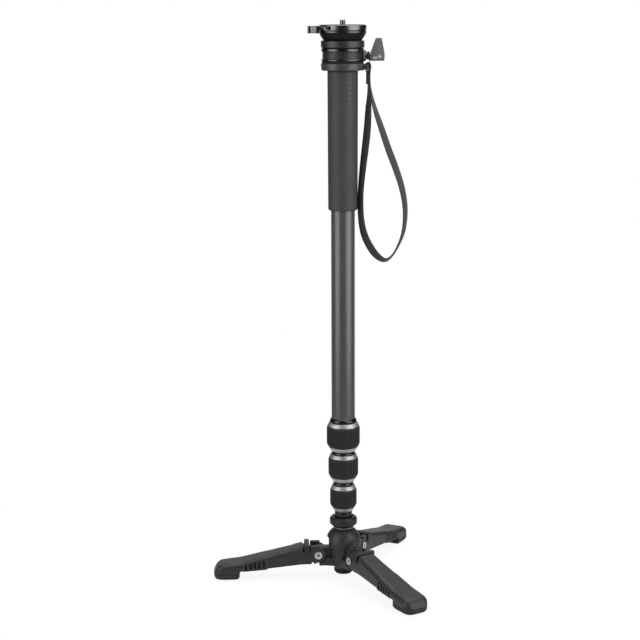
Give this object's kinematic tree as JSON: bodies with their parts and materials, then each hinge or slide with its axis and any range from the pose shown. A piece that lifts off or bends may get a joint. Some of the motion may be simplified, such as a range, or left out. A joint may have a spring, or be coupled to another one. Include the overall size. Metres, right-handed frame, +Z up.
{
  "type": "monopod",
  "caption": "Carbon camera monopod with twist-lock sections, a folding three-legged base on a tilting ball, a levelling head with camera plate, and a wrist strap.",
  "frame": {"origin": "centre of the rubber tip's flat underside, on the column's axis; the leg soles stand 4 mm lower", "axes": "+Z up the column to the camera screw; +X towards the wrist strap's lug and the lock paddle; +Y away from the viewer of the picture"},
  "size_m": [0.2351, 0.2627, 0.6206],
  "materials": {
    "moulded_plastic": "smooth moulded",
    "rubber": "fine matt",
    "steel": "turned",
    "nylon": "smooth",
    "bright_aluminium": "satin turned",
    "black_aluminium": "black anodised, satin",
    "carbon_fibre": "fine twill weave",
    "webbing": "woven",
    "paddle_plastic": "smooth moulded",
    "brass": "turned"
  },
  "bodies": {
    "base": {"hub": "moulded_plastic", "hub_foot": "rubber", "cup_plug": "steel", "hinge_pins": "steel", "hinge_screws": "steel"},
    "swivel": {"ball_cup": "nylon"},
    "lower_tube": {"ball_stem": "steel", "tube_4": "carbon_fibre", "guide_bush_4": "nylon"},
    "base_collar": {"lock_collar": "black_aluminium", "dome_ring": "bright_aluminium"},
    "third_tube": {"tube_3": "carbon_fibre", "ferrule_3": "black_aluminium", "collet_3": "nylon", "guide_bush_3": "nylon"},
    "nut_3": {"lock_nut_3": "bright_aluminium", "lock_grip_3": "rubber"},
    "second_tube": {"tube_2": "carbon_fibre", "ferrule_2": "black_aluminium", "collet_2": "nylon", "guide_bush_2": "nylon"},
    "nut_2": {"lock_nut_2": "bright_aluminium", "lock_grip_2": "rubber"},
    "top_tube": {"tube_1": "carbon_fibre", "ferrule_1": "black_aluminium", "collet_1": "nylon", "grip_sleeve": "rubber", "strap_collar": "black_aluminium", "wrist_strap": "webbing", "tube_plug": "black_aluminium", "head_stud": "steel"},
    "nut_1": {"lock_nut_1": "bright_aluminium", "lock_grip_1": "rubber"},
    "head": {"head_base": "black_aluminium", "knob_bush": "black_aluminium", "brake_shoe": "brass", "clamp_ring": "black_aluminium", "ball_seat": "nylon"},
    "leveller": {"half_ball": "black_aluminium", "ball_bolt": "steel", "ball_retainer": "bright_aluminium"},
    "paddle": {"lock_paddle": "paddle_plastic", "paddle_screw": "steel"},
    "plate": {"camera_plate": "black_aluminium", "plate_pad": "rubber", "camera_screw": "steel", "lever_pin": "steel"},
    "lever": {"plate_lever": "black_aluminium"},
    "leg_1": {"leg_1": "moulded_plastic", "sole_1": "rubber"},
    "latch_1": {"leg_latch_1": "black_aluminium"},
    "leg_2": {"leg_2": "moulded_plastic", "sole_2": "rubber"},
    "latch_2": {"leg_latch_2": "black_aluminium"},
    "leg_3": {"leg_3": "moulded_plastic", "sole_3": "rubber"},
    "latch_3": {"leg_latch_3": "black_aluminium"}
  },
  "joints": [
    {"name": "base_pan", "type": "hinge", "parent": "base", "child": "swivel", "pos_m": [0, 0, 0.0353], "axis": [0, 0, 1], "continuous": true},
    {"name": "base_tilt", "type": "hinge", "parent": "swivel", "child": "lower_tube", "pos_m": [0, 0, 0.0353], "axis": [0, 1, 0], "range_deg": [0, 15]},
    {"name": "base_lock", "type": "hinge", "parent": "lower_tube", "child": "base_collar", "pos_m": [0, 0, 0.0353], "axis": [0, 0, 1], "range_deg": [0, 90]},
    {"name": "slide_3", "type": "slide", "parent": "lower_tube", "child": "third_tube", "axis": [0, 0, 1], "range_m": [0, 0.33]},
    {"name": "slide_2", "type": "slide", "parent": "third_tube", "child": "second_tube", "axis": [0, 0, 1], "range_m": [0, 0.33]},
    {"name": "slide_1", "type": "slide", "parent": "second_tube", "child": "top_tube", "axis": [0, 0, 1], "range_m": [0, 0.33]},
    {"name": "twist_3", "type": "hinge", "parent": "third_tube", "child": "nut_3", "pos_m": [0, 0, 0.085], "axis": [0, 0, 1], "range_deg": [0, 120]},
    {"name": "twist_2", "type": "hinge", "parent": "second_tube", "child": "nut_2", "pos_m": [0, 0, 0.12], "axis": [0, 0, 1], "range_deg": [0, 120]},
    {"name": "twist_1", "type": "hinge", "parent": "top_tube", "child": "nut_1", "pos_m": [0, 0, 0.157], "axis": [0, 0, 1], "range_deg": [0, 120]},
    {"name": "head_pan", "type": "hinge", "parent": "top_tube", "child": "head", "pos_m": [0, 0, 0.57853], "axis": [0, 0, 1], "continuous": true},
    {"name": "level_tilt", "type": "hinge", "parent": "head", "child": "leveller", "pos_m": [0, 0, 0.61229], "axis": [0, 1, 0], "range_deg": [-10, 10]},
    {"name": "plate_spin", "type": "hinge", "parent": "leveller", "child": "plate", "pos_m": [0, 0, 0.61109], "axis": [0, 0, 1], "continuous": true},
    {"name": "lever_swing", "type": "hinge", "parent": "plate", "child": "lever", "pos_m": [-0.0173, -0.0145, 0.6076], "axis": [0, 0, 1], "range_deg": [0, 70]},
    {"name": "paddle_turn", "type": "hinge", "parent": "head", "child": "paddle", "pos_m": [0.03, 0, 0.57853], "axis": [1, 0, 0], "range_deg": [-60, 60]},
    {"name": "leg_fold_1", "type": "hinge", "parent": "base", "child": "leg_1", "pos_m": [-0.02887, -0.00121, 0.023], "axis": [0.0419, -0.9991, 0], "range_deg": [-90, 0]},
    {"name": "latch_slide_1", "type": "slide", "parent": "leg_1", "child": "latch_1", "axis": [-0.9991, -0.0419, 0], "range_m": [0, 0.0018], "stiffness_N_per_m": 300, "springref_m": -0.003},
    {"name": "leg_fold_2", "type": "hinge", "parent": "base", "child": "leg_2", "pos_m": [0.01339, 0.02561, 0.023], "axis": [-0.8862, 0.4633, 0], "range_deg": [-90, 0]},
    {"name": "latch_slide_2", "type": "slide", "parent": "leg_2", "child": "latch_2", "axis": [0.4633, 0.8862, 0], "range_m": [0, 0.0018], "stiffness_N_per_m": 300, "springref_m": -0.003},
    {"name": "leg_fold_3", "type": "hinge", "parent": "base", "child": "leg_3", "pos_m": [0.01549, -0.0244, 0.023], "axis": [0.8443, 0.5358, 0], "range_deg": [-90, 0]},
    {"name": "latch_slide_3", "type": "slide", "parent": "leg_3", "child": "latch_3", "axis": [0.5358, -0.8443, 0], "range_m": [0, 0.0018], "stiffness_N_per_m": 300, "springref_m": -0.003}
  ]
}
